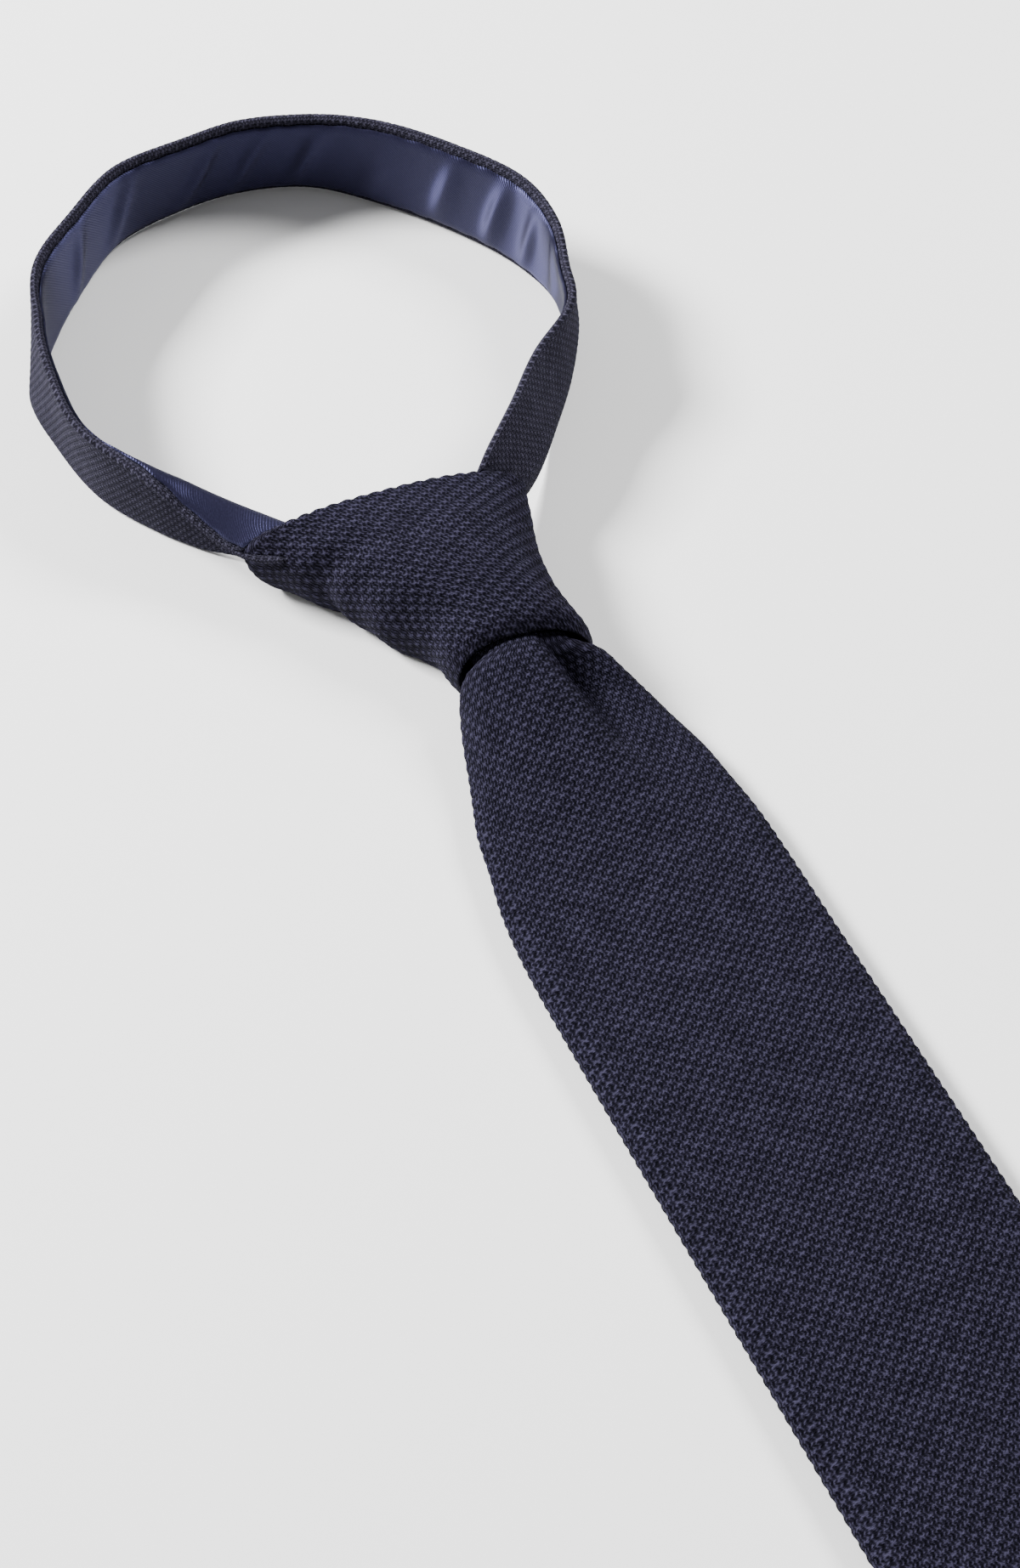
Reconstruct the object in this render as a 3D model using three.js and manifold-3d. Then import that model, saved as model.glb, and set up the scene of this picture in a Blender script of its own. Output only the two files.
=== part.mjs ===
// A knit tie tied in a four-in-hand knot, lying on a table with its neck loop standing on edge.
// Units are millimetres. +Z is up, +Y points from the knot to the back of the neck loop, and the
// front blade runs towards -Y. The origin is on the table under the middle of the knot.

import * as THREE from 'three';
import Module from 'manifold-3d';

const wasm = await Module();
wasm.setup();

// Cloth
const KNIT = 3.0;             // thickness of the double knit
const SATIN = 0.8;            // thickness of the lining with its turned edge
const LINING_INSET = 2.0;     // knit border left bare beside each edge of the lining
const GAP = 0.3;              // clearance between pieces that touch
const EDGE_THINNING = 0.45;   // share of the thickness that is left at a rounded edge
const EDGE_ROUND = 1.1;       // stretch over which an edge is rounded, in thicknesses

// Neck band
const BAND_WIDTH = 27;
const BAND_KNIT = 2.2;        // thickness of the knit here, where it is stretched
const LOOP_SIDE = 65;         // from the tie's centre line to the band at its widest
const LOOP_BACK = 153;        // from the middle of the knot to the band at the back of the neck
const FOLD_SOFTNESS = 0.22;   // stretch over which a lengthwise fold bends, in band widths
const BAND_STATIONS = 64;     // sections along the band
const SECTION_STEPS = 96;     // steps in which the curve of a section is followed

// Knot
const KNOT_LENGTH = 48;
const KNOT_WIDTH = 64;        // across its upper end
const KNOT_HEIGHT = 26.5;
const KNOT_FLAT = 1.5;        // how wide its flat underside is, 1 being a single line
const KNOT_BOXINESS = 0.8;    // power of its rounding across, 1 being an ellipse
const MOUTH_SLANT = -0.2;     // slope of the knot's lower rim, towards the blade's end on the right
const TOP_SLANT = -0.125;     // the same of its upper rim
const BLADE_TUCK = 7.5;       // how far the blades reach into the knot's mouth
const CORE_START = BLADE_TUCK + KNIT;
const CORE_HUMP = 5;          // how far their hump stands out of the upper end
const KNOT_SIDES = 24;        // points round a section
const KNOT_SECTIONS = 19;     // sections along the knot

// Blades
const BLADE_WIDTH = 60;
const BLADE_LENGTH = 450;     // from the knot's mouth to the square end
const TAIL_WIDTH = 50;
const TAIL_LENGTH = 360;
const GATHER_LENGTH = 80;     // stretch below the knot in which the gathers flatten out
const MOUTH_FIT = 0.86;       // share of the mouth's inner width that the blade's edges take
const SLANT_FADE = 0.25;      // gather lengths over which the blade loses the mouth's slope
const TAIL_DROP = 14;         // stretch in which the tail comes down to the table
const END_DROP = 30;          // stretch in which the front blade comes down past the tail's end
const EDGE_DROOP = 1.5;       // how far the front blade's edges hang beside the tail
const DROOP_WIDTH = 4;        // stretch beside each edge that hangs
const DIMPLE_LEFT = 0.13;     // reach of the dimple to each side, in half widths of the blade
const DIMPLE_RIGHT = 0.32;

const MOUTH_Y = -22;
const TOP_Y = MOUTH_Y + KNOT_LENGTH;

// Route of the band's lower edge, from inside the knot's left side round to its right side.
// side and back are shares of LOOP_SIDE and LOOP_BACK. lift is in knit thicknesses. lean is the
// outward tilt in degrees below the fold line, fold is the height of that line in band widths,
// turn is the bend over it in degrees, and width is a share of BAND_WIDTH.
const BAND_ROWS = [
  { side: -0.35, back: 0.140, lift: 1.25, lean: 0, fold: 0.74, turn: 100, width: 0.66 },
  { side: -0.44, back: 0.203, lift: 1.15, lean: 0, fold: 0.60, turn: 114, width: 0.82 },
  { side: -0.54, back: 0.262, lift: 0.45, lean: 0, fold: 0.64, turn: 110, width: 0.88 },
  { side: -0.64, back: 0.309, lift: 0.00, lean: 0, fold: 0.75, turn: 98, width: 0.91 },
  { side: -0.74, back: 0.367, lift: 0.00, lean: 6, fold: 0.88, turn: 58, width: 0.93 },
  { side: -0.855, back: 0.460, lift: 0.00, lean: 7, fold: 0.97, turn: 10, width: 0.95 },
  { side: -0.905, back: 0.575, lift: 0.00, lean: -1, fold: 0.90, turn: 2, width: 0.98 },
  { side: -0.907, back: 0.700, lift: 0.00, lean: -10, fold: 0.60, turn: 0, width: 1.00 },
  { side: -0.757, back: 0.793, lift: 0.00, lean: -1, fold: 0.50, turn: 0, width: 1.00 },
  { side: -0.577, back: 0.878, lift: 0.00, lean: -5, fold: 0.50, turn: 0, width: 1.00 },
  { side: -0.345, back: 0.960, lift: 0.00, lean: -9, fold: 0.50, turn: 0, width: 1.00 },
  { side: -0.06, back: 0.988, lift: 0.00, lean: -13, fold: 0.50, turn: 0, width: 1.00 },
  { side: 0.185, back: 0.985, lift: 0.00, lean: -12, fold: 0.50, turn: 0, width: 1.00 },
  { side: 0.435, back: 0.946, lift: 0.00, lean: -11, fold: 0.50, turn: 0, width: 1.00 },
  { side: 0.644, back: 0.854, lift: 0.00, lean: -2.5, fold: 0.50, turn: 0, width: 1.00 },
  { side: 0.829, back: 0.741, lift: 0.00, lean: 0.5, fold: 0.45, turn: 0, width: 1.00 },
  { side: 0.95, back: 0.633, lift: 0.00, lean: 3, fold: 0.40, turn: 0, width: 0.99 },
  { side: 0.995, back: 0.536, lift: 0.00, lean: 2, fold: 0.36, turn: -6, width: 0.97 },
  { side: 0.948, back: 0.444, lift: 0.00, lean: 3, fold: 0.35, turn: -12, width: 0.96 },
  { side: 0.842, back: 0.371, lift: 0.00, lean: 6, fold: 0.35, turn: -8, width: 0.95 },
  { side: 0.674, back: 0.286, lift: 0.00, lean: 9, fold: 0.35, turn: -28, width: 0.95 },
  { side: 0.51, back: 0.208, lift: 0.50, lean: 12, fold: 0.35, turn: -38, width: 0.90 },
  { side: 0.35, back: 0.150, lift: 1.15, lean: 14, fold: 0.36, turn: -46, width: 0.77 },
  { side: 0.24, back: 0.115, lift: 1.25, lean: 14, fold: 0.36, turn: -48, width: 0.63 },
];

// Puckers of the satin. at is the place along the band's route and at its upper edge it is shifted
// by slope; both and width are shares of the route. rise is in satin thicknesses.
const PUCKERS = [
  { at: 0.386, slope: 0.010, width: 0.012, rise: 1.3 },
  { at: 0.432, slope: 0.020, width: 0.014, rise: 1.3 },
  { at: 0.488, slope: 0.030, width: 0.012, rise: 1.6 },
  { at: 0.526, slope: 0.030, width: 0.012, rise: 1.5 },
  { at: 0.566, slope: 0.030, width: 0.012, rise: 1.3 },
  { at: 0.610, slope: 0.020, width: 0.013, rise: 0.8 },
  { at: 0.648, slope: 0.015, width: 0.012, rise: 1.6 },
  { at: 0.682, slope: 0.015, width: 0.012, rise: 1.6 },
  { at: 0.712, slope: 0.015, width: 0.012, rise: 1.1 },
  { at: 0.748, slope: 0.010, width: 0.012, rise: 1.2 },
];

// Sections of the knot from its mouth to its upper end. along is a share of KNOT_LENGTH, left and
// right are shares of KNOT_WIDTH from the tie's centre line, height is a share of KNOT_HEIGHT, and
// waist is the level of the widest line as a share of the section's own height.
const KNOT_ROWS = [
  { along: 0.00, left: -0.174, right: 0.308, height: 0.83, waist: 0.42 },
  { along: 0.05, left: -0.180, right: 0.312, height: 0.86, waist: 0.42 },
  { along: 0.12, left: -0.183, right: 0.303, height: 0.88, waist: 0.42 },
  { along: 0.22, left: -0.192, right: 0.292, height: 0.91, waist: 0.42 },
  { along: 0.32, left: -0.238, right: 0.287, height: 0.94, waist: 0.42 },
  { along: 0.42, left: -0.303, right: 0.292, height: 0.96, waist: 0.42 },
  { along: 0.53, left: -0.338, right: 0.303, height: 0.97, waist: 0.42 },
  { along: 0.62, left: -0.380, right: 0.318, height: 0.97, waist: 0.43 },
  { along: 0.70, left: -0.396, right: 0.336, height: 0.96, waist: 0.45 },
  { along: 0.78, left: -0.462, right: 0.355, height: 0.95, waist: 0.48 },
  { along: 0.90, left: -0.530, right: 0.381, height: 0.92, waist: 0.53 },
  { along: 1.00, left: -0.606, right: 0.406, height: 0.89, waist: 0.57 },
];

// Hump of the inner turns behind the knot. out is in hump heights, and wide and tall are shares of
// the wrap's upper opening.
const HUMP_ROWS = [
  { out: 0.02, wide: 0.54, tall: 0.90 },
  { out: 0.45, wide: 0.50, tall: 0.84 },
  { out: 0.80, wide: 0.42, tall: 0.72 },
  { out: 1.00, wide: 0.27, tall: 0.52 },
];

// Gathers of the front blade below the mouth. along is in gather lengths, spread runs from the
// mouth's inner width, 0, to the full width, 1, drift is the share of the mouth's sideways offset,
// crown and dimple are shares of the mouth's inner height, rounding is the power of the crown's
// rounding, 1 being a half wave, and dimple_at is the dimple's place across, from -1 to 1.
const GATHER_ROWS = [
  { along: -0.12, spread: 0.00, drift: 1.00, crown: 0.98, rounding: 0.30, dimple: 0.04, dimple_at: 0.22 },
  { along: 0.00, spread: 0.00, drift: 1.00, crown: 1.03, rounding: 0.30, dimple: 0.10, dimple_at: 0.23 },
  { along: 0.04, spread: 0.25, drift: 1.00, crown: 1.01, rounding: 0.38, dimple: 0.42, dimple_at: 0.24 },
  { along: 0.10, spread: 0.39, drift: 1.00, crown: 0.90, rounding: 0.55, dimple: 0.60, dimple_at: 0.26 },
  { along: 0.18, spread: 0.52, drift: 0.93, crown: 0.75, rounding: 0.72, dimple: 0.50, dimple_at: 0.30 },
  { along: 0.30, spread: 0.68, drift: 0.82, crown: 0.52, rounding: 0.86, dimple: 0.29, dimple_at: 0.36 },
  { along: 0.41, spread: 0.82, drift: 0.72, crown: 0.35, rounding: 0.90, dimple: 0.13, dimple_at: 0.42 },
  { along: 0.51, spread: 0.89, drift: 0.66, crown: 0.22, rounding: 0.90, dimple: 0.04, dimple_at: 0.48 },
  { along: 0.63, spread: 0.97, drift: 0.55, crown: 0.12, rounding: 0.90, dimple: 0.00, dimple_at: 0.50 },
  { along: 0.78, spread: 1.01, drift: 0.43, crown: 0.05, rounding: 0.90, dimple: 0.00, dimple_at: 0.50 },
  { along: 1.00, spread: 1.02, drift: 0.35, crown: 0.00, rounding: 0.90, dimple: 0.00, dimple_at: 0.50 },
  { along: 2.40, spread: 1.00, drift: 0.08, crown: 0.00, rounding: 0.90, dimple: 0.00, dimple_at: 0.50 },
];

const mix = (a, b, t) => a + (b - a) * t;
const radians = (degrees) => degrees * Math.PI / 180;
const range = (from, to, count) => Array.from({ length: count }, (_, i) => mix(from, to,
  i / (count - 1)));

function smoothstep(t) {
  const s = Math.min(1, Math.max(0, t));
  return s * s * (3 - 2 * s);
}

// Value of a column at a place x along a table, on a smooth curve through its rows. key names the
// column that holds each row's place, and without it the rows are evenly spaced from 0 to 1.
function lookup(rows, column, x, key) {
  const place = (i) => (key ? rows[i][key] : i / (rows.length - 1));
  const last = rows.length - 1;
  if (x <= place(0)) return rows[0][column];
  if (x >= place(last)) return rows[last][column];
  let i = 0;
  while (place(i + 1) < x) i += 1;
  const slope = (j) => {
    const a = Math.max(0, j - 1);
    const b = Math.min(last, j + 1);
    return (rows[b][column] - rows[a][column]) / (place(b) - place(a));
  };
  const step = place(i + 1) - place(i);
  const t = (x - place(i)) / step;
  const [t2, t3] = [t * t, t * t * t];
  return (2 * t3 - 3 * t2 + 1) * rows[i][column] + (t3 - 2 * t2 + t) * step * slope(i)
    + (3 * t2 - 2 * t3) * rows[i + 1][column] + (t3 - t2) * step * slope(i + 1);
}

// Closed solid between two grids of points, one for each face of a sheet. Each grid is a list of
// rows, and a wrapped sheet closes on itself across its rows, as a sleeve does.
function sheetSolid(front, back, wrapped = false) {
  const rows = front.length;
  const columns = front[0].length;
  const points = [...front.flat(), ...back.flat()];
  const frontAt = (i, j) => i * columns + (j % columns);
  const backAt = (i, j) => rows * columns + frontAt(i, j);
  const indices = [];
  const quad = (a, b, c, d) => indices.push(a, b, c, a, c, d);
  const spans = wrapped ? columns : columns - 1;
  for (let i = 0; i < rows - 1; i += 1) {
    for (let j = 0; j < spans; j += 1) {
      quad(frontAt(i, j), frontAt(i, j + 1), frontAt(i + 1, j + 1), frontAt(i + 1, j));
      quad(backAt(i, j), backAt(i + 1, j), backAt(i + 1, j + 1), backAt(i, j + 1));
    }
    if (!wrapped) {
      quad(frontAt(i, 0), frontAt(i + 1, 0), backAt(i + 1, 0), backAt(i, 0));
      const edge = columns - 1;
      quad(frontAt(i, edge), backAt(i, edge), backAt(i + 1, edge), frontAt(i + 1, edge));
    }
  }
  for (let j = 0; j < spans; j += 1) {
    quad(frontAt(0, j), backAt(0, j), backAt(0, j + 1), frontAt(0, j + 1));
    const end = rows - 1;
    quad(frontAt(end, j), frontAt(end, j + 1), backAt(end, j + 1), backAt(end, j));
  }
  return solidFrom(points, indices);
}

// Closed solid through rings of points, with a flat fan over each end.
function ringSolid(rings) {
  const count = rings[0].length;
  const points = rings.flat();
  const indices = [];
  for (let i = 0; i < rings.length - 1; i += 1) {
    for (let j = 0; j < count; j += 1) {
      const [a, b] = [i * count + j, i * count + (j + 1) % count];
      indices.push(a, b, b + count, a, b + count, a + count);
    }
  }
  const cap = (ring, turned) => {
    const centre = points.length;
    const sum = rings[ring].reduce((total, point) => total.add(point), new THREE.Vector3());
    points.push(sum.divideScalar(count));
    for (let j = 0; j < count; j += 1) {
      const [a, b] = [ring * count + j, ring * count + (j + 1) % count];
      if (turned) indices.push(centre, b, a);
      else indices.push(centre, a, b);
    }
  };
  cap(0, true);
  cap(rings.length - 1, false);
  return solidFrom(points, indices);
}

// Geometry of a closed mesh, turned inside out if its faces point inwards.
function solidFrom(points, indices) {
  let volume = 0;
  for (let i = 0; i < indices.length; i += 3) {
    const [a, b, c] = [points[indices[i]], points[indices[i + 1]], points[indices[i + 2]]];
    volume += a.dot(new THREE.Vector3().crossVectors(b, c));
  }
  if (volume < 0) indices.reverse();
  const geometry = new THREE.BufferGeometry().setFromPoints(points);
  geometry.setIndex(indices);
  geometry.computeVertexNormals();
  return geometry;
}

// Exact solid of a geometry, for joining and cutting.
function toSolid(geometry) {
  return new wasm.Manifold(new wasm.Mesh({
    numProp: 3,
    vertProperties: new Float32Array(geometry.attributes.position.array),
    triVerts: new Uint32Array(geometry.index.array),
  }));
}

// What is left of a geometry after another one is cut away from it.
function cutAway(geometry, cutter) {
  const mesh = toSolid(geometry).subtract(toSolid(cutter)).getMesh();
  const result = new THREE.BufferGeometry();
  result.setAttribute('position', new THREE.BufferAttribute(mesh.vertProperties, 3));
  result.setIndex(new THREE.BufferAttribute(mesh.triVerts, 1));
  result.computeVertexNormals();
  return result;
}

// Half the thickness of a strip at a place across it, 0 to 1, which thins towards its edges.
const halfThickness = (v, width, knit) => knit / 2 * mix(EDGE_THINNING, 1,
  smoothstep(Math.min(v, 1 - v) * width / (knit * EDGE_ROUND)));

const bandRoute = new THREE.CatmullRomCurve3(BAND_ROWS.map((row) => new THREE.Vector3(
  row.side * LOOP_SIDE, row.back * LOOP_BACK, row.lift * KNIT)), false, 'centripetal');

// Middle surface of the neck band: a point and the direction out of the loop, at a place along
// the route and at each of a list of heights from the lower edge, 0, to the upper edge, 1.
function bandSection(along, heights) {
  const foot = bandRoute.getPoint(along);
  const heading = bandRoute.getTangent(along).setZ(0).normalize();
  const outward = new THREE.Vector3(-heading.y, heading.x, 0);
  const width = BAND_WIDTH * lookup(BAND_ROWS, 'width', along);
  const lean = lookup(BAND_ROWS, 'lean', along);
  foot.z = Math.max(0, foot.z)
    + halfThickness(0, BAND_WIDTH, BAND_KNIT) * Math.abs(Math.sin(radians(lean)));
  const fold = lookup(BAND_ROWS, 'fold', along);
  const turn = lookup(BAND_ROWS, 'turn', along);
  const tilt = (v) => radians(lean + turn * smoothstep((v - fold) / FOLD_SOFTNESS + 0.5));
  const section = [];
  let v = 0;
  let [across, up] = [0, 0];
  for (const height of heights) {
    const count = Math.max(1, Math.ceil((height - v) * SECTION_STEPS));
    for (let i = 0; i < count; i += 1) {
      const angle = tilt(v + (i + 0.5) * (height - v) / count);
      across += Math.sin(angle) * width * (height - v) / count;
      up += Math.cos(angle) * width * (height - v) / count;
    }
    v = height;
    const angle = tilt(v);
    section.push({
      point: foot.clone().addScaledVector(outward, across).add(new THREE.Vector3(0, 0, up)),
      normal: outward.clone().multiplyScalar(Math.cos(angle))
        .add(new THREE.Vector3(0, 0, -Math.sin(angle))),
    });
  }
  return section;
}

const LINING_EDGE = LINING_INSET / BAND_WIDTH;
const LINING_HEIGHTS = range(LINING_EDGE, 1 - LINING_EDGE, 9);
const BAND_HEIGHTS = [0, LINING_EDGE / 2, ...LINING_HEIGHTS, 1 - LINING_EDGE / 2, 1];

function neckBand() {
  const front = [];
  const back = [];
  for (let i = 0; i < BAND_STATIONS; i += 1) {
    const section = bandSection(i / (BAND_STATIONS - 1), BAND_HEIGHTS);
    const half = BAND_HEIGHTS.map((v) => halfThickness(v, BAND_WIDTH, BAND_KNIT));
    front.push(section.map(({ point, normal }, j) => point.clone().addScaledVector(normal, half[j])));
    back.push(section.map(({ point, normal }, j) => point.clone().addScaledVector(normal, -half[j])));
  }
  return cutAway(sheetSolid(front, back), knotEnvelope());
}

// How far the satin stands off the knit, in millimetres, at a place along and across the band.
function puckerRise(along, height) {
  return PUCKERS.reduce((rise, pucker) => {
    const offset = (along - pucker.at - pucker.slope * (height - 0.5)) / pucker.width;
    const fade = Math.sin(Math.PI * height);
    return rise + SATIN * pucker.rise * fade * Math.exp(-offset * offset);
  }, 0);
}

function bandLining() {
  const front = [];
  const back = [];
  for (let i = 0; i < BAND_STATIONS; i += 1) {
    const along = i / (BAND_STATIONS - 1);
    const section = bandSection(along, LINING_HEIGHTS);
    const offsets = LINING_HEIGHTS.map((v) => BAND_KNIT / 2 + GAP
      + puckerRise(along, (v - LINING_EDGE) / (1 - 2 * LINING_EDGE)));
    front.push(section.map(({ point, normal }, j) => point.clone()
      .addScaledVector(normal, -offsets[j])));
    back.push(section.map(({ point, normal }, j) => point.clone()
      .addScaledVector(normal, -offsets[j] - SATIN)));
  }
  return cutAway(sheetSolid(front, back), knotEnvelope());
}

// Slope of a section across the knot at a share of its length.
const knotSlant = (along) => mix(MOUTH_SLANT, TOP_SLANT, along);

// Ring of points round the knot at a share of its length, drawn in from its outside by an inset.
function knotRing(along, inset) {
  const at = (column) => lookup(KNOT_ROWS, column, along, 'along');
  const left = at('left') * KNOT_WIDTH + inset;
  const right = at('right') * KNOT_WIDTH - inset;
  const top = at('height') * KNOT_HEIGHT - inset;
  const waist = mix(inset, top, at('waist'));
  const [middle, half] = [(left + right) / 2, (right - left) / 2];
  const slant = knotSlant(along);
  const ring = [];
  for (let j = 0; j < KNOT_SIDES; j += 1) {
    const angle = 2 * Math.PI * j / KNOT_SIDES;
    const [c, s] = [Math.cos(angle), Math.sin(angle)];
    const x = middle + half * Math.sign(c) * Math.abs(c) ** KNOT_BOXINESS;
    const z = s > 0 ? mix(waist, top, s) : Math.max(inset, mix(waist, inset, -s * KNOT_FLAT));
    const y = mix(MOUTH_Y, TOP_Y, along) + slant * (x - middle);
    ring.push(new THREE.Vector3(x, y, z));
  }
  return ring;
}

function knotWrap() {
  const outer = [];
  const inner = [];
  for (const along of range(0, 1, KNOT_SECTIONS)) {
    const rim = Math.min(along, 1 - along) * KNOT_LENGTH / KNIT;
    const wall = KNIT * mix(EDGE_THINNING, 1, smoothstep(rim));
    const trim = (KNIT - wall) / 2;
    outer.push(knotRing(along, trim));
    inner.push(knotRing(along, KNIT - trim));
  }
  return sheetSolid(outer, inner, true);
}

// Room that the whole knot takes, with its clearance, where the ends of the neck band meet it.
function knotEnvelope() {
  const rings = range(0, 1, KNOT_SECTIONS).map((along) => knotRing(along, -GAP));
  rings.push(rings[KNOT_SECTIONS - 1].map((point) => point.clone().setY(point.y + GAP)));
  return ringSolid(rings);
}

// Inner turns of the knot. They fill the wrap, and a round hump of them stands out of its upper
// end between the two ends of the neck band.
function knotCore() {
  const inset = KNIT + GAP;
  const start = CORE_START / KNOT_LENGTH;
  const beyond = range(0, 1, KNOT_SECTIONS).filter((along) => along * KNOT_LENGTH > CORE_START + GAP);
  const rings = [start, ...beyond].map((along) => knotRing(along, inset));
  const face = rings[rings.length - 1];
  const centre = new THREE.Box3().setFromPoints(face).getCenter(new THREE.Vector3());
  for (const { out, wide, tall } of HUMP_ROWS) {
    rings.push(face.map((point) => new THREE.Vector3(
      mix(centre.x, point.x, wide), mix(centre.y, point.y, wide) + out * CORE_HUMP,
      mix(inset, point.z, tall))));
  }
  return ringSolid(rings);
}

const blade = (column, along) => lookup(GATHER_ROWS, column, along, 'along');

// Inside of the knot's mouth, less the clearance: its middle, half width, floor and height.
function mouth() {
  const ring = new THREE.Box3().setFromPoints(knotRing(0, KNIT + GAP));
  return {
    middle: (ring.min.x + ring.max.x) / 2,
    half: (ring.max.x - ring.min.x) / 2,
    floor: ring.min.z,
    height: ring.max.z - ring.min.z,
  };
}

// Height of the front blade's middle surface where it lies flat, at a distance below the mouth.
function bladeRest(distance) {
  const onTail = KNIT + GAP + KNIT / 2;
  return mix(onTail, KNIT / 2, smoothstep((distance - TAIL_LENGTH - KNIT) / END_DROP));
}

// Point of the front blade's middle surface. u runs across the blade from -1 to 1.
function bladePoint(distance, u) {
  const { middle, half, height } = mouth();
  const along = distance / GATHER_LENGTH;
  const halfWidth = mix(half * MOUTH_FIT - KNIT / 2, BLADE_WIDTH / 2, blade('spread', along));
  const crown = blade('crown', along);
  const bent = mix(u, Math.sin(u * Math.PI / 2), crown);
  const arch = Math.max(0, Math.cos(u * Math.PI / 2)) ** blade('rounding', along);
  const from = u - blade('dimple_at', along);
  const reach = from < 0 ? DIMPLE_LEFT : DIMPLE_RIGHT;
  const dip = blade('dimple', along) * Math.exp(-((from / reach) ** 2));
  const inside = (1 - Math.abs(u)) * BLADE_WIDTH / 2;
  const droop = EDGE_DROOP * smoothstep(1 - inside / DROOP_WIDTH) * (1 - crown)
    * smoothstep((TAIL_LENGTH - distance) / END_DROP);
  const slant = distance < 0 ? knotSlant(-distance / KNOT_LENGTH)
    : MOUTH_SLANT * (1 - smoothstep(along / SLANT_FADE));
  const x = middle * blade('drift', along) + halfWidth * bent;
  return new THREE.Vector3(
    x,
    MOUTH_Y - distance + slant * (x - middle),
    bladeRest(distance) + (height - KNIT) * (crown * arch - dip) - droop,
  );
}

// Step in distance and across in which the slope of a middle surface is measured.
const SLOPE_STEP = 0.01;

// Two faces of a strip of cloth whose middle surface is a function of distance and place across.
function stripSolid(pointAt, distances, columns) {
  const front = [];
  const back = [];
  for (const distance of distances) {
    const row = columns.map((u) => {
      const along = pointAt(distance + SLOPE_STEP, u).sub(pointAt(distance - SLOPE_STEP, u));
      const across = pointAt(distance, u + SLOPE_STEP).sub(pointAt(distance, u - SLOPE_STEP));
      const normal = across.cross(along).normalize();
      if (normal.z < 0) normal.negate();
      const half = halfThickness((u + 1) / 2, BLADE_WIDTH, KNIT);
      return { point: pointAt(distance, u), offset: normal.multiplyScalar(half) };
    });
    front.push(row.map(({ point, offset }) => point.clone().add(offset)));
    back.push(row.map(({ point, offset }) => point.clone().sub(offset)));
  }
  return sheetSolid(front, back);
}

function frontBlade() {
  const distances = [
    ...range(-BLADE_TUCK, 0, 4).slice(0, -1),
    ...range(0, GATHER_LENGTH, 17),
    ...range(GATHER_LENGTH, TAIL_LENGTH, 5).slice(1),
    ...range(TAIL_LENGTH + KNIT, TAIL_LENGTH + KNIT + END_DROP, 6),
    BLADE_LENGTH,
  ];
  return stripSolid(bladePoint, distances, range(-1, 1, 21));
}

// Point of the tail's middle surface, which lies under the front blade.
function tailPoint(distance, u) {
  const { middle, half, floor } = mouth();
  const along = distance / GATHER_LENGTH;
  const narrow = half * MOUTH_FIT - 1.5 * KNIT - 2 * GAP;
  const spread = smoothstep(along);
  const halfWidth = mix(narrow, TAIL_WIDTH / 2, spread);
  const rest = mix(floor + KNIT / 2, KNIT / 2, smoothstep(distance / TAIL_DROP));
  const slant = distance < 0 ? knotSlant(-distance / KNOT_LENGTH) : MOUTH_SLANT * (1 - spread);
  return new THREE.Vector3(
    middle * blade('drift', along) + halfWidth * u,
    MOUTH_Y - distance + slant * halfWidth * u,
    rest,
  );
}

function tailBlade() {
  const distances = [
    ...range(-BLADE_TUCK, 0, 3).slice(0, -1),
    ...range(0, TAIL_DROP, 8),
    ...range(TAIL_DROP, GATHER_LENGTH, 9).slice(1),
    ...range(GATHER_LENGTH, TAIL_LENGTH, 4).slice(1),
  ];
  return stripSolid(tailPoint, distances, [-1, -0.96, -0.9, -0.5, 0, 0.5, 0.9, 0.96, 1]);
}

const navyKnit = { color: 0x2a2938, roughness: 0.95, metalness: 0 };
const navySatin = { color: 0x33355a, roughness: 0.38, metalness: 0 };

const tie = new THREE.Group();
tie.name = 'knit_tie';

function add(name, geometry, look) {
  const mesh = new THREE.Mesh(geometry, new THREE.MeshStandardMaterial(look));
  mesh.name = name;
  tie.add(mesh);
}

add('neck_band', neckBand(), navyKnit);
add('band_lining', bandLining(), navySatin);
add('knot_wrap', knotWrap(), navyKnit);
add('knot_core', knotCore(), navyKnit);
add('front_blade', frontBlade(), navyKnit);
add('tail_blade', tailBlade(), navyKnit);

export default tie;
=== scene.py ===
import bmesh
import bpy
import numpy as np
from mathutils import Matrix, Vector


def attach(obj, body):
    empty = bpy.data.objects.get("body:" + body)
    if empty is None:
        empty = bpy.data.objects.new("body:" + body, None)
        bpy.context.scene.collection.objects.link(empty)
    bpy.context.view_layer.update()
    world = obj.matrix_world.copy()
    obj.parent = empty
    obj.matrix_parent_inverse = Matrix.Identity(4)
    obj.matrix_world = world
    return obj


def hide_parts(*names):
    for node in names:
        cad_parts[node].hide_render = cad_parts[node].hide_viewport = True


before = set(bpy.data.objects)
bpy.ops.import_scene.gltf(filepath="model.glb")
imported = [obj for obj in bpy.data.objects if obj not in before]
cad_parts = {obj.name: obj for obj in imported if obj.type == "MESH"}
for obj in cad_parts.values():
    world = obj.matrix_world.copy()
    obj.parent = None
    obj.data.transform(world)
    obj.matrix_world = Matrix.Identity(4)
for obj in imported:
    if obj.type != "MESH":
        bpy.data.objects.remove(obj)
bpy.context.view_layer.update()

# A knit tie tied in a four-in-hand knot, lying on a pale surface with its neck loop on edge.
# The shapes are worked out in millimetres, in the frame of the part, and turned into metres when
# a mesh is made.
MM = 0.001

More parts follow.
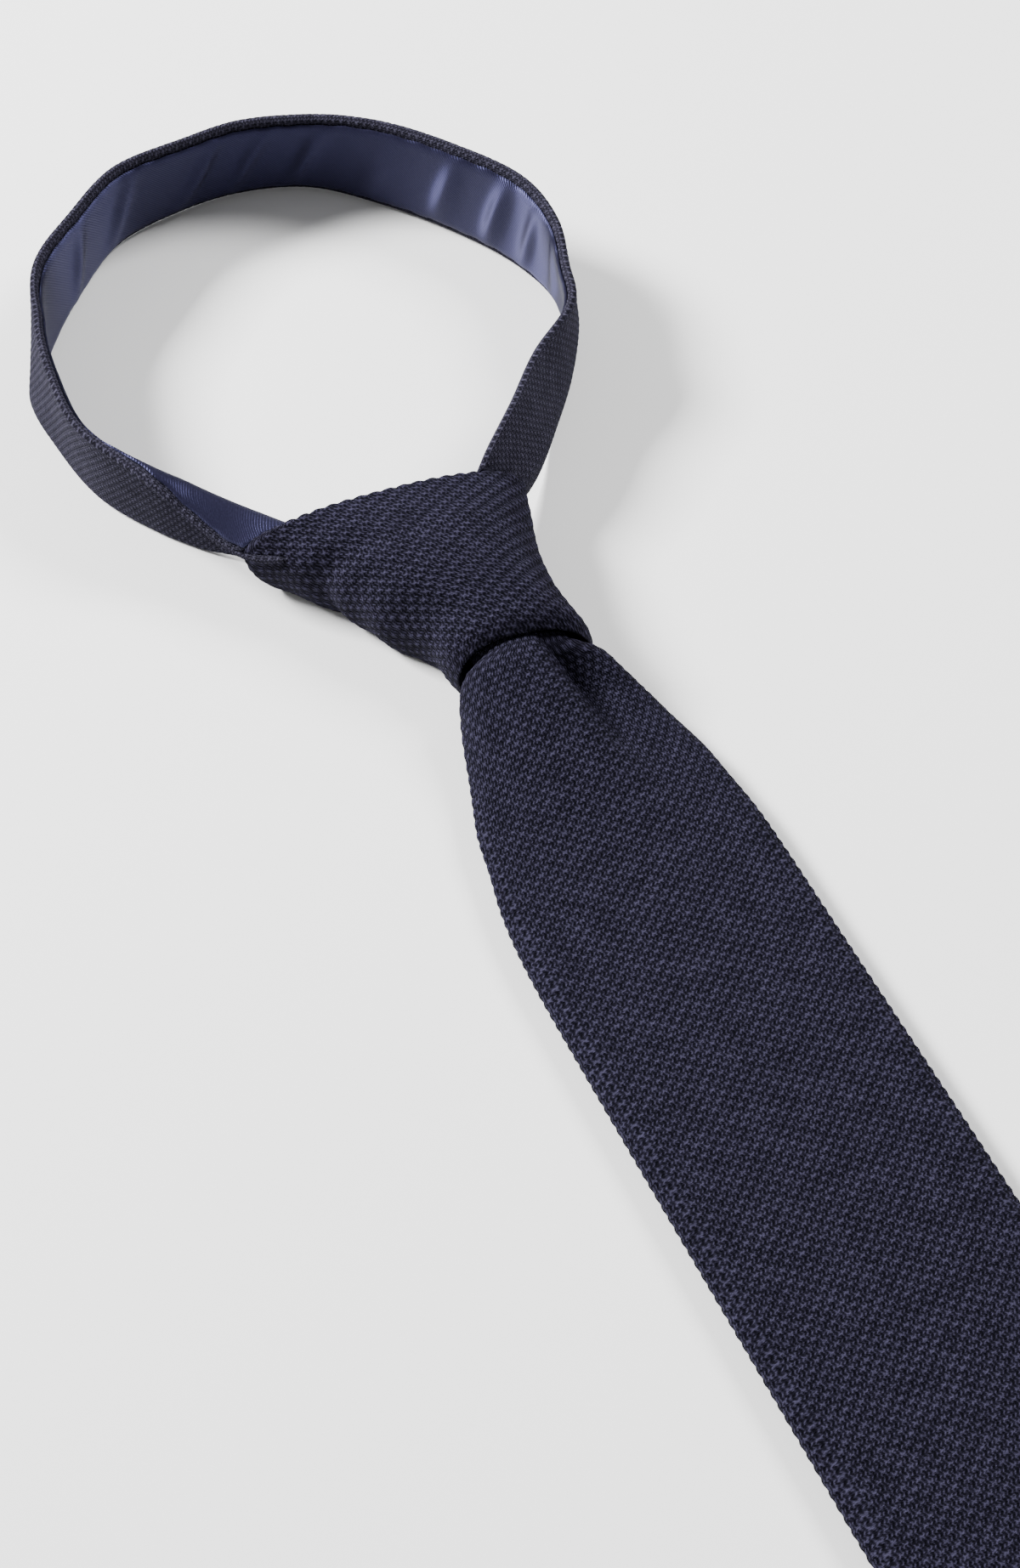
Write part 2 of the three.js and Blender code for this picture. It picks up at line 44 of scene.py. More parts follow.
# Cloth
KNIT = 3.0                # thickness of the double knit
SATIN = 0.8               # thickness of the lining
BAND_KNIT = 2.2           # the same round the neck, where it is stretched
LINING_INSET = 2.0        # knit border left bare beside each edge of the lining
GAP = 0.3                 # clearance between pieces that touch
WALE = 1.62               # pitch of the stitches across the strip
COURSE = 1.285            # half their pitch along it, as every second wale is shifted
RELIEF = 0.30             # depth of the stitches
STITCH_LEAN = 0.08        # how far a stitch leans over, in wales
SELVEDGE = 0.60           # depth of the bumps along an edge
KNOT_SELVEDGE = 0.80      # the same along the knot's upper rim
BAND_SELVEDGE = 0.12      # the same round the neck
SELVEDGE_WIDTH = 2.0      # how far in from the edge they reach
BAND_STITCH = 0.75        # size of the stitches round the neck, as a share of the others
RIM_PITCH = 1.8           # pitch of the bumps along the band's edges
SEAM_INSET = 1.7          # stitched line inside each edge of the lining
SEAM_PITCH = 2.4
SEAM_WIDTH = 0.5          # from the middle of the line to its side
SEAM_DEPTH = 9.0          # depth of its groove, in depths of the satin's grain
TWILL_PITCH = 0.8         # pitch of the satin's slanted threads
LINING_WAVE = 0.20        # how far the lining's edge waves in and out
EDGE_WAVES = ((0.6, 6.3), (0.4, 9.7))  # share and length of each wave in it
PUCKER_SHARPNESS = 2.0    # how much narrower the puckers are here than in the solid

# Neck band
BAND_WIDTH = 27
LOOP_SIDE = 65
LOOP_BACK = 153
FOLD_SOFTNESS = 0.22

# Knot
KNOT_LENGTH = 48
KNOT_WIDTH = 64
KNOT_HEIGHT = 26.5
KNOT_FLAT = 1.5
KNOT_BOXINESS = 0.8
MOUTH_SLANT = -0.2
TOP_SLANT = -0.125
BLADE_TUCK = 7.5
CORE_START = BLADE_TUCK + KNIT
CORE_HUMP = 5
KNOT_STRETCH = 1.08       # width of a stitch on the knot, as a share of the others
ROW_SLOPE = 0.16          # slope of its rows of stitches against its sections, in radians
HEM_LIP = 0.4             # thickness of the hem where it meets the blade
HEM_TAPER = 5.0           # length over which its top thins to that
HEM_CURVE = 1.5           # power of the thinning
HEM_SIDES = 0.4           # share of the thinning at its sides and underside
PLAIN_HEM = 4.5           # length over which the stitches fade at the hem
PLAIN_RIM = 3.6           # and at the upper rim

# Blades
BLADE_WIDTH = 60
BLADE_LENGTH = 450
TAIL_WIDTH = 50
TAIL_LENGTH = 360
GATHER_LENGTH = 80
MOUTH_FIT = 0.86
SLANT_FADE = 0.25
TAIL_DROP = 14
END_DROP = 30
END_OPENING = 0.05        # keeps a blade's first and last rings from closing to a line
EDGE_DROOP = 1.5
DROOP_WIDTH = 4
DIMPLE_LEFT = 0.13
DIMPLE_RIGHT = 0.32

MOUTH_Y = -22
TOP_Y = MOUTH_Y + KNOT_LENGTH

# Camera of the photograph
CAMERA_AT = (-159.18, -340.41, 458.13)
CAMERA_AZIMUTH = -26.6
CAMERA_ELEVATION = 53.9
CAMERA_LENS = 62.44
CAMERA_SENSOR = 36.0

# Studio, in metres and watts: name, place, size and power of each soft light, and the floor
SOFT_LIGHTS = (
    ("key", (-0.80, 0.80, 0.88), 0.40, 88),
    ("fill", (0.95, 0.10, 1.00), 0.50, 28),
)
LIGHTS_FACE = (0, -0.1, 0)
WORLD_LIGHT = 0.42
FLOOR_HALF = 3.0
FLOOR_DROP = 0.0002
FLOOR_TONE = 0.78

# Fineness of the meshes: points across a face, round a piece, and along it
BAND_FRONT, BAND_BACK = 64, 34
LINING_COLUMNS, LINING_STEP = 40, 0.9
RING_POINTS = 720
WRAP_ROUND, WRAP_ROWS, WRAP_INNER_ROWS = 300, 100, 24
CORE_ROUND, CORE_ROWS, HUMP_STEPS = 160, 40, 24
ROOM_ROUND, ROOM_ROWS = 96, 60
BLADE_FRONT, BLADE_BACK, TAIL_COLUMNS = 112, 16, 16

# Route of the band's lower edge, from inside the knot's left side round to its right side.
# side and back are shares of LOOP_SIDE and LOOP_BACK. lift is in knit thicknesses. lean is the
# outward tilt in degrees below the fold line, fold is the height of that line in band widths,
# turn is the bend over it in degrees, and width is a share of BAND_WIDTH.
BAND_COLUMNS = ("side", "back", "lift", "lean", "fold", "turn", "width")
BAND_ROWS = np.array([
    (-0.35, 0.140, 1.25, 0, 0.74, 100, 0.66),
    (-0.44, 0.203, 1.15, 0, 0.60, 114, 0.82),
    (-0.54, 0.262, 0.45, 0, 0.64, 110, 0.88),
    (-0.64, 0.309, 0.00, 0, 0.75, 98, 0.91),
    (-0.74, 0.367, 0.00, 6, 0.88, 58, 0.93),
    (-0.855, 0.460, 0.00, 7, 0.97, 10, 0.95),
    (-0.905, 0.575, 0.00, -1, 0.90, 2, 0.98),
    (-0.907, 0.700, 0.00, -10, 0.60, 0, 1.00),
    (-0.757, 0.793, 0.00, -1, 0.50, 0, 1.00),
    (-0.577, 0.878, 0.00, -5, 0.50, 0, 1.00),
    (-0.345, 0.960, 0.00, -9, 0.50, 0, 1.00),
    (-0.06, 0.988, 0.00, -13, 0.50, 0, 1.00),
    (0.185, 0.985, 0.00, -12, 0.50, 0, 1.00),
    (0.435, 0.946, 0.00, -11, 0.50, 0, 1.00),
    (0.644, 0.854, 0.00, -2.5, 0.50, 0, 1.00),
    (0.829, 0.741, 0.00, 0.5, 0.45, 0, 1.00),
    (0.95, 0.633, 0.00, 3, 0.40, 0, 0.99),
    (0.995, 0.536, 0.00, 2, 0.36, -6, 0.97),
    (0.948, 0.444, 0.00, 3, 0.35, -12, 0.96),
    (0.842, 0.371, 0.00, 6, 0.35, -8, 0.95),
    (0.674, 0.286, 0.00, 9, 0.35, -28, 0.95),
    (0.51, 0.208, 0.50, 12, 0.35, -38, 0.90),
    (0.35, 0.150, 1.15, 14, 0.36, -46, 0.77),
    (0.24, 0.115, 1.25, 14, 0.36, -48, 0.63),
])

# Puckers of the satin: at, slope, width and rise. at is the place along the band's route, which
# slope shifts towards the upper edge; both and width are shares of the route. rise is in satin
# thicknesses.
PUCKERS = np.array([
    (0.386, 0.010, 0.012, 1.3),
    (0.432, 0.020, 0.014, 1.3),
    (0.488, 0.030, 0.012, 1.6),
    (0.526, 0.030, 0.012, 1.5),
    (0.566, 0.030, 0.012, 1.3),
    (0.610, 0.020, 0.013, 0.8),
    (0.648, 0.015, 0.012, 1.6),
    (0.682, 0.015, 0.012, 1.6),
    (0.712, 0.015, 0.012, 1.1),
    (0.748, 0.010, 0.012, 1.2),
])

# Sections of the knot from its mouth to its upper end. along is a share of KNOT_LENGTH, left and
# right are shares of KNOT_WIDTH from the tie's centre line, height is a share of KNOT_HEIGHT, and
# waist is the level of the widest line as a share of the section's own height.
KNOT_COLUMNS = ("along", "left", "right", "height", "waist")
KNOT_ROWS = np.array([
    (0.00, -0.174, 0.308, 0.83, 0.42),
    (0.05, -0.180, 0.312, 0.86, 0.42),
    (0.12, -0.183, 0.303, 0.88, 0.42),
    (0.22, -0.192, 0.292, 0.91, 0.42),
    (0.32, -0.238, 0.287, 0.94, 0.42),
    (0.42, -0.303, 0.292, 0.96, 0.42),
    (0.53, -0.338, 0.303, 0.97, 0.42),
    (0.62, -0.380, 0.318, 0.97, 0.43),
    (0.70, -0.396, 0.336, 0.96, 0.45),
    (0.78, -0.462, 0.355, 0.95, 0.48),
    (0.90, -0.530, 0.381, 0.92, 0.53),
    (1.00, -0.606, 0.406, 0.89, 0.57),
])

# Hump of the inner turns behind the knot. out is in hump heights, and wide and tall are shares of
# the wrap's upper opening.
HUMP_COLUMNS = ("out", "wide", "tall")
HUMP_ROWS = np.array([
    (0.00, 0.54, 0.90),
    (0.45, 0.50, 0.84),
    (0.80, 0.42, 0.72),
    (1.00, 0.27, 0.52),
])

# Gathers of the front blade below the mouth. along is in gather lengths, spread runs from the
# mouth's inner width, 0, to the full width, 1, drift is the share of the mouth's sideways offset,
# crown and dimple are shares of the mouth's inner height, rounding is the power of the crown's
# rounding, 1 being a half wave, and dimple_at is the dimple's place across, from -1 to 1.
GATHER_COLUMNS = ("along", "spread", "drift", "crown", "rounding", "dimple", "dimple_at")
GATHER_ROWS = np.array([
    (-0.12, 0.00, 1.00, 0.98, 0.30, 0.04, 0.22),
    (0.00, 0.00, 1.00, 1.03, 0.30, 0.10, 0.23),
    (0.04, 0.25, 1.00, 1.01, 0.38, 0.42, 0.24),
    (0.10, 0.39, 1.00, 0.90, 0.55, 0.60, 0.26),
    (0.18, 0.52, 0.93, 0.75, 0.72, 0.50, 0.30),
    (0.30, 0.68, 0.82, 0.52, 0.86, 0.29, 0.36),
    (0.41, 0.82, 0.72, 0.35, 0.90, 0.13, 0.42),
    (0.51, 0.89, 0.66, 0.22, 0.90, 0.04, 0.48),
    (0.63, 0.97, 0.55, 0.12, 0.90, 0.00, 0.50),
    (0.78, 1.01, 0.43, 0.05, 0.90, 0.00, 0.50),
    (1.00, 1.02, 0.35, 0.00, 0.90, 0.00, 0.50),
    (2.40, 1.00, 0.08, 0.00, 0.90, 0.00, 0.50),
])


# Shared curves and shapes
def mix(a, b, t):
    return a + (b - a) * t


def smoothstep(t):
    s = np.clip(t, 0, 1)
    return s * s * (3 - 2 * s)


def hermite(a, b, slope_a, slope_b, t):
    """Smooth curve from a to b with the slopes given for a step of 1."""
    t2, t3 = t * t, t * t * t
    return ((2 * t3 - 3 * t2 + 1) * a + (t3 - 2 * t2 + t) * slope_a
            + (3 * t2 - 2 * t3) * b + (t3 - t2) * slope_b)


def lookup(rows, places, values, x):
    """Values at the places x of a smooth curve through a table's rows."""
    last = len(rows) - 1
    x = np.clip(x, places[0], places[-1])
    i = np.clip(np.searchsorted(places, x, side="right") - 1, 0, last - 1)
    before = np.maximum(np.arange(last + 1) - 1, 0)
    after = np.minimum(np.arange(last + 1) + 1, last)
    slopes = (values[after] - values[before]) / (places[after] - places[before])
    step = places[i + 1] - places[i]
    return hermite(values[i], values[i + 1], step * slopes[i], step * slopes[i + 1],
                   (x - places[i]) / step)


def scallop(place):
    """Row of round bumps, one for each whole number: 1 on a bump and 0 between two."""
    return np.sqrt(np.clip(1 - (2 * (place - np.floor(place)) - 1) ** 2, 0, 1))


def stitch_height(wales, courses):
    """Height of the knit, from 0 in a hole to 1 on a stitch."""
    leaned = wales + STITCH_LEAN * np.sin(2 * np.pi * courses)
    return 0.5 + 0.5 * np.cos(np.pi * leaned) * np.cos(np.pi * courses)


# Meshes
def link_mesh(name, rings, faces, places):
    """Smooth mesh in the scene, from points in millimetres, faces, and the stitch place of each
    corner of each face."""
    mesh = bpy.data.meshes.new(name)
    mesh.from_pydata((rings.reshape(-1, 3) * MM).tolist(), [], faces)
    uv = mesh.uv_layers.new(name="knit")
    uv.uv.foreach_set("vector", places.astype(np.float32).ravel())
    mesh.shade_smooth()
    piece = bpy.data.objects.new(name, mesh)
    bpy.context.scene.collection.objects.link(piece)
    turn_outwards(piece)
    return piece


def cloth_mesh(name, rings, across, along):
    """Closed mesh through rings of points in millimetres, an array of rows, columns and 3. across
    and along are the stitch places of each point, with one column more, for the seam."""
    rows, columns = rings.shape[:2]
    index = np.arange(rows * columns).reshape(rows, columns)
    unwrapped = np.arange(rows * (columns + 1)).reshape(rows, columns + 1)
    beside = np.roll(index, -1, axis=1)
    quads = np.stack([index[:-1], beside[:-1], beside[1:], index[1:]], axis=-1).reshape(-1, 4)
    corners = np.stack([unwrapped[:-1, :-1], unwrapped[:-1, 1:], unwrapped[1:, 1:],
                        unwrapped[1:, :-1]], axis=-1).reshape(-1)
    caps = [index[0, ::-1], index[-1]]
    cap_corners = np.concatenate([unwrapped[0, :-1][::-1], unwrapped[-1, :-1]])
    places = np.stack([across, along], axis=-1).reshape(-1, 2)
    return link_mesh(name, rings, quads.tolist() + [cap.tolist() for cap in caps],
                     places[np.concatenate([corners, cap_corners])])


def turn_outwards(piece):
    """Turns a closed mesh inside out if its faces point inwards."""
    mesh = piece.data
    mesh.calc_loop_triangles()
    points = np.array([vertex.co for vertex in mesh.vertices])
    corners = np.array([triangle.vertices for triangle in mesh.loop_triangles])
    a, b, c = (points[corners[:, k]] for k in range(3))
    if np.einsum("ij,ij->i", a, np.cross(b, c)).sum() < 0:
        mesh.flip_normals()


def grid_normals(points):
    """Unit normals of a grid of points."""
    down = np.gradient(points, axis=0)
    right = np.gradient(points, axis=1)
    normals = np.cross(right, down)
    return normals / np.linalg.norm(normals, axis=-1, keepdims=True)


def edge_round(distance, radius):
    """Share of the thickness at a distance from an edge, which is round in section."""
    inside = np.clip(distance / radius, 0, 1)
    return np.sqrt(np.clip(1 - (1 - inside) ** 2, 0, 1))


def finish_piece(piece, node, material):
    """Puts a piece in the place of its solid, with its material."""
    piece.data.materials.clear()
    piece.data.materials.append(material)
    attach(piece, "root")
    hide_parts(node)
    return piece


# Materials
# Knit colours at levels of the stitch height, darker where the knit is lower and darkest in the
# holes between stitches: that darkening is painted shade.
KNIT_LEVELS = (0.12, 0.50, 1.00)
KNIT_TONES_HOLE_SHADED = [(0.0010, 0.0009, 0.0024), (0.0060, 0.0053, 0.0108), (0.0310, 0.0286, 0.0520)]
# The neck band's colours are a lighter copy of the knit's: painted light, standing in for brighter
# light on the band.
BAND_TONES_PAINTED_LIGHTER = [(0.0050, 0.0046, 0.0078), (0.0135, 0.0125, 0.0205), (0.0480, 0.0450, 0.0700)]


class Shader:
    """A material's node tree, with short calls for its nodes."""

    def __init__(self, name):
        self.material = bpy.data.materials.new(name)
        self.material.use_nodes = True
        self.tree = self.material.node_tree
        self.surface = self.tree.nodes["Principled BSDF"]

    def join(self, source, socket):
        """Links an output into a socket, or sets the socket to a constant."""
        if isinstance(source, bpy.types.NodeSocket):
            self.tree.links.new(source, socket)
        else:
            socket.default_value = source

    def math(self, operation, a, b=0.0, c=0.0):
        node = self.tree.nodes.new("ShaderNodeMath")
        node.operation = operation
        for source, socket in zip((a, b, c), node.inputs):
            self.join(source, socket)
        return node.outputs[0]

    def wave(self, place, rate):
        """Cosine that turns a half wave for each unit of the place, times a rate."""
        return self.math("COSINE", self.math("MULTIPLY", place, np.pi * rate))

    def uv(self):
        node = self.tree.nodes.new("ShaderNodeUVMap")
        node.uv_map = "knit"
        split = self.tree.nodes.new("ShaderNodeSeparateXYZ")
        self.tree.links.new(node.outputs[0], split.inputs[0])
        return node.outputs[0], split.outputs[0], split.outputs[1]

    def noise(self, place, scale, detail=2.0):
        node = self.tree.nodes.new("ShaderNodeTexNoise")
        self.tree.links.new(place, node.inputs["Vector"])
        node.inputs["Scale"].default_value = scale
        node.inputs["Detail"].default_value = detail
        return node.outputs["Fac"]

    def ramp(self, source, stops):
        node = self.tree.nodes.new("ShaderNodeValToRGB")
        self.tree.links.new(source, node.inputs[0])
        elements = node.color_ramp.elements
        while len(elements) < len(stops):
            elements.new(0.5)
        for element, (position, color) in zip(elements, stops):
            element.position = position
            element.color = (*color, 1)
        return node.outputs[0]

    def bump(self, height, distance, strength=1.0):
        node = self.tree.nodes.new("ShaderNodeBump")
        node.inputs["Distance"].default_value = distance * MM
        node.inputs["Strength"].default_value = strength
        self.tree.links.new(height, node.inputs["Height"])
        return node.outputs[0]


def knit_material(name, hole_shaded_tones):
    """Dark navy knit: tucked stitches on a staggered grid, each with two legs, small holes between
    them, and loose fibres. The tones given are its colours at KNIT_LEVELS of its height, so it
    darkens where the knit is lower, most in the holes: that darkening is painted shade."""
    shader = Shader(name)
    place, wales, courses = shader.uv()
    leaning = shader.math("SINE", shader.math("MULTIPLY", courses, 2 * np.pi))
    leaned = shader.math("MULTIPLY_ADD", leaning, STITCH_LEAN, wales)
    across = {rate: shader.wave(leaned, rate) for rate in (1, 3, 4)}
    down = {rate: shader.wave(courses, rate) for rate in (1, 2, 3)}
    shapes = [
        (0.22, shader.math("MULTIPLY", across[1], down[1])),
        (0.14, shader.math("MULTIPLY", across[3], down[1])),
        (0.10, shader.math("MULTIPLY", across[3], down[3])),
        (-0.20, across[4]),
        (0.11, down[2]),
        (0.70, shader.math("SUBTRACT", shader.noise(place, 1.6), 0.5)),
        (1.10, shader.math("SUBTRACT", shader.noise(place, 4.5), 0.5)),
    ]
    height = 0.5
    for share, shape in shapes:
        height = shader.math("MULTIPLY_ADD", shape, share, height)
    blotch = shader.math("SUBTRACT", shader.noise(place, 0.3), 0.5)
    shade = shader.math("MULTIPLY_ADD", blotch, 0.4, height)
    # Colour from the stitch height and a random blotch: the darkening into the holes is painted
    # shade, the blotch is the yarn's own uneven tone.
    color = shader.ramp(shade, list(zip(KNIT_LEVELS, hole_shaded_tones)))
    shader.join(color, shader.surface.inputs["Base Color"])
    shader.join(0.90, shader.surface.inputs["Roughness"])
    shader.join(0.04, shader.surface.inputs["Specular IOR Level"])
    shader.join(0.008, shader.surface.inputs["Sheen Weight"])
    shader.join((0.7, 0.7, 1.0, 1), shader.surface.inputs["Sheen Tint"])
    shader.join(shader.bump(height, 0.30), shader.surface.inputs["Normal"])
    return shader.material


def satin_material():
    """Navy satin: its threads run round the neck, so its sheen spreads from edge to edge. A line
    of stitches sinks in beside each edge."""
    shader = Shader("navy_satin")
    place, across, along = shader.uv()
    slanted = shader.math("ADD", across, along)
    twill = shader.math("SINE", shader.math("MULTIPLY", slanted, 2 * np.pi / TWILL_PITCH))
    grain = shader.noise(place, 2.5, 3.0)
    from_middle = shader.math("ABSOLUTE", shader.math("SUBTRACT", across, 1.5 * BAND_WIDTH))
    seam_at = BAND_WIDTH / 2 - LINING_INSET - SEAM_INSET
    from_seam = shader.math("ABSOLUTE", shader.math("SUBTRACT", from_middle, seam_at))
    groove = shader.math("SUBTRACT", 1.0, shader.math("DIVIDE", from_seam, SEAM_WIDTH))
    groove = shader.math("MAXIMUM", groove, 0.0)
    beat = shader.math("COSINE", shader.math("MULTIPLY", along, 2 * np.pi / SEAM_PITCH))
    groove = shader.math("MULTIPLY", groove, shader.math("MULTIPLY_ADD", beat, 0.5, 0.6))
    height = shader.math("MULTIPLY_ADD", twill, 0.6, grain)
    height = shader.math("MULTIPLY_ADD", groove, -SEAM_DEPTH, height)
    color = shader.ramp(grain, [
        (0.3, (0.0060, 0.0056, 0.0120)),
        (0.7, (0.0110, 0.0104, 0.0220)),
    ])
    tangent = shader.tree.nodes.new("ShaderNodeTangent")
    tangent.direction_type = "UV_MAP"
    tangent.uv_map = "knit"
    shader.join(color, shader.surface.inputs["Base Color"])
    shader.join(0.42, shader.surface.inputs["Roughness"])
    shader.join(1.0, shader.surface.inputs["Anisotropic"])
    shader.join(tangent.outputs[0], shader.surface.inputs["Tangent"])
    shader.join(0.45, shader.surface.inputs["Specular IOR Level"])
    shader.join((0.40, 0.40, 1.0, 1), shader.surface.inputs["Specular Tint"])
    shader.join(shader.bump(height, 0.02), shader.surface.inputs["Normal"])
    return shader.material


def floor_material():
    shader = Shader("pale_floor")
    shader.join((FLOOR_TONE, FLOOR_TONE, FLOOR_TONE, 1), shader.surface.inputs["Base Color"])
    shader.join(0.9, shader.surface.inputs["Roughness"])
    return shader.material


# Neck band and its lining
BAND_PLACES = np.linspace(0, 1, len(BAND_ROWS))
BAND_STEPS = 1200
WIDTH_STEPS = 161
ROUTE_STEP = 0.0001


def band_value(column, along):
    return lookup(BAND_ROWS, BAND_PLACES, BAND_ROWS[:, BAND_COLUMNS.index(column)], along)


def band_route(along):
    """Points of the band's lower edge, on a centripetal curve through the table's places."""
    points = BAND_ROWS[:, :3] * (LOOP_SIDE, LOOP_BACK, KNIT)
    points = np.concatenate([[2 * points[0] - points[1]], points, [2 * points[-1] - points[-2]]])
    spans = np.sqrt(np.linalg.norm(np.diff(points, axis=0), axis=1))[:, None]
    place = along * (len(BAND_ROWS) - 1)
    i = np.minimum(place.astype(int), len(BAND_ROWS) - 2)
    p0, p1, p2, p3 = (points[i + k] for k in range(4))
    d0, d1, d2 = (spans[i + k] for k in range(3))
    slope_1 = d1 * ((p1 - p0) / d0 - (p2 - p0) / (d0 + d1) + (p2 - p1) / d1)
    slope_2 = d1 * ((p2 - p1) / d1 - (p3 - p1) / (d1 + d2) + (p3 - p2) / d2)
    return hermite(p1, p2, slope_1, slope_2, (place - i)[:, None])


def band_lengths():
    """Places along the route and the length of the lower edge up to each, in millimetres."""
    along = np.linspace(0, 1, BAND_STEPS)
    steps = np.linalg.norm(np.diff(band_route(along), axis=0), axis=1)
    return along, np.concatenate([[0], np.cumsum(steps)])


def band_surface(along, heights):
    """Middle surface of the band and its outward normals, for places along the route and a list
    of heights from the lower edge, 0, to the upper edge, 1."""
    foot = band_route(along)
    ahead = (band_route(np.clip(along + ROUTE_STEP, 0, 1))
             - band_route(np.clip(along - ROUTE_STEP, 0, 1)))
    ahead[:, 2] = 0
    ahead /= np.linalg.norm(ahead, axis=1, keepdims=True)
    outward = np.stack([-ahead[:, 1], ahead[:, 0], np.zeros(len(along))], axis=1)
    lean = band_value("lean", along)
    foot[:, 2] = np.maximum(0, foot[:, 2]) + BAND_KNIT / 4 * np.abs(np.sin(np.radians(lean)))
    fine = np.linspace(0, 1, WIDTH_STEPS)
    bend = smoothstep((fine[None, :] - band_value("fold", along)[:, None]) / FOLD_SOFTNESS + 0.5)
    tilt = np.radians(lean[:, None] + band_value("turn", along)[:, None] * bend)
    width = BAND_WIDTH * band_value("width", along)[:, None]
    middle = (tilt[:, 1:] + tilt[:, :-1]) / 2
    step = width / (len(fine) - 1)
    start = np.zeros((len(along), 1))
    out = np.concatenate([start, np.cumsum(np.sin(middle) * step, axis=1)], axis=1)
    up = np.concatenate([start, np.cumsum(np.cos(middle) * step, axis=1)], axis=1)
    out, up, tilt = (np.stack([np.interp(heights, fine, row) for row in values])
                     for values in (out, up, tilt))
    points = foot[:, None, :] + outward[:, None, :] * out[..., None]
    points[..., 2] += up
    normals = outward[:, None, :] * np.cos(tilt)[..., None]
    normals[..., 2] = -np.sin(tilt)
    return points, normals


def pucker_rise(along, height):
    """How far the satin stands off the knit, in millimetres."""
    rise = np.zeros(np.broadcast(along, height).shape)
    for at, slope, width, tall in PUCKERS:
        offset = PUCKER_SHARPNESS * (along - at - slope * (height - 0.5)) / width
        rise += SATIN * tall * np.sin(np.pi * height) * np.exp(-offset * offset)
    return rise


def edge_wave(place):
    """Uneven wave from -1 to 1 along the lining's edge, for places in millimetres."""
    return sum(share * np.sin(2 * np.pi * place / length) for share, length in EDGE_WAVES)


def neck_band(material):
    along, lengths = band_lengths()
    places = np.arange(0, lengths[-1], COURSE / 2)
    where = np.interp(places, lengths, along)
    wales = BAND_WIDTH / (BAND_STITCH * WALE)
    course = BAND_STITCH * COURSE
    front_v = np.linspace(0, 1, BAND_FRONT)
    back_v = np.linspace(1, 0, BAND_BACK)[1:-1]

    def face(heights, side, relief):
        points, normals = band_surface(where, heights)
        edge = np.minimum(heights, 1 - heights)[None, :] * BAND_WIDTH
        near = 1 - smoothstep(edge / SELVEDGE_WIDTH)
        bumps = 1 - scallop(places / RIM_PITCH)[:, None]
        sunk = 1 - stitch_height(heights[None, :] * wales, places[:, None] / course)
        depth = BAND_STITCH * RELIEF * relief * sunk * (1 - near) + BAND_SELVEDGE * bumps * near
        half = (BAND_KNIT / 2 - depth) * edge_round(edge, BAND_KNIT / 2)
        upward = np.gradient(points, axis=1)
        upward /= np.linalg.norm(upward, axis=-1, keepdims=True)
        inward = np.where(heights < 0.5, 1, -1)[None, :] * BAND_SELVEDGE * bumps * near
        return points + side * normals * half[..., None] + upward * inward[..., None]

    lined = smoothstep((np.minimum(back_v, 1 - back_v) * BAND_WIDTH - LINING_INSET) / WALE)
    rings = np.concatenate([face(front_v, 1, 1), face(back_v, -1, 1 - lined[None, :])], axis=1)
    turned = np.concatenate([front_v, 2 - back_v, [2]]) * wales
    piece = cloth_mesh("knit_band", rings, *np.broadcast_arrays(
        turned[None, :], places[:, None] / course))
    cut_by_knot(piece)
    finish_piece(piece, "neck_band", material)
    return piece


def band_lining(material):
    along, lengths = band_lengths()
    places = np.arange(0, lengths[-1], LINING_STEP)
    where = np.interp(places, lengths, along)
    inset = LINING_INSET / BAND_WIDTH
    front_v = np.linspace(inset, 1 - inset, LINING_COLUMNS)
    back_v = front_v[::-1][1:-1]
    width = BAND_WIDTH - 2 * LINING_INSET
    wave = LINING_WAVE * edge_wave(places)

    def face(heights, share):
        points, normals = band_surface(where, heights)
        place = (heights - inset) / (1 - 2 * inset)
        upward = np.gradient(points, axis=1)
        upward /= np.linalg.norm(upward, axis=-1, keepdims=True)
        points = points + upward * (wave[:, None] * (2 * place - 1) ** 5)[..., None]
        rise = pucker_rise(where[:, None], place[None, :])
        edge = np.minimum(place, 1 - place)[None, :] * width
        half = SATIN / 2 * edge_round(edge, SATIN / 2)
        sewn = mix(SATIN / 2, GAP + SATIN / 2, smoothstep(edge / LINING_INSET)) - GAP / 2
        offset = BAND_KNIT / 2 + sewn + rise + share * half
        return points - normals * offset[..., None]

    rings = np.concatenate([face(front_v, 1), face(back_v, -1)], axis=1)
    turned = np.concatenate([front_v, 2 - back_v, [2 - inset]]) * BAND_WIDTH
    piece = cloth_mesh("satin_lining", rings, *np.broadcast_arrays(
        turned[None, :], places[:, None]))
    cut_by_knot(piece)
    finish_piece(piece, "band_lining", material)
    return piece


# Knot
KNOT_PLACES = KNOT_ROWS[:, 0]


def knot_value(column, along):
    return lookup(KNOT_ROWS, KNOT_PLACES, KNOT_ROWS[:, KNOT_COLUMNS.index(column)], along)


def knot_slant(along):
    return mix(MOUTH_SLANT, TOP_SLANT, along)


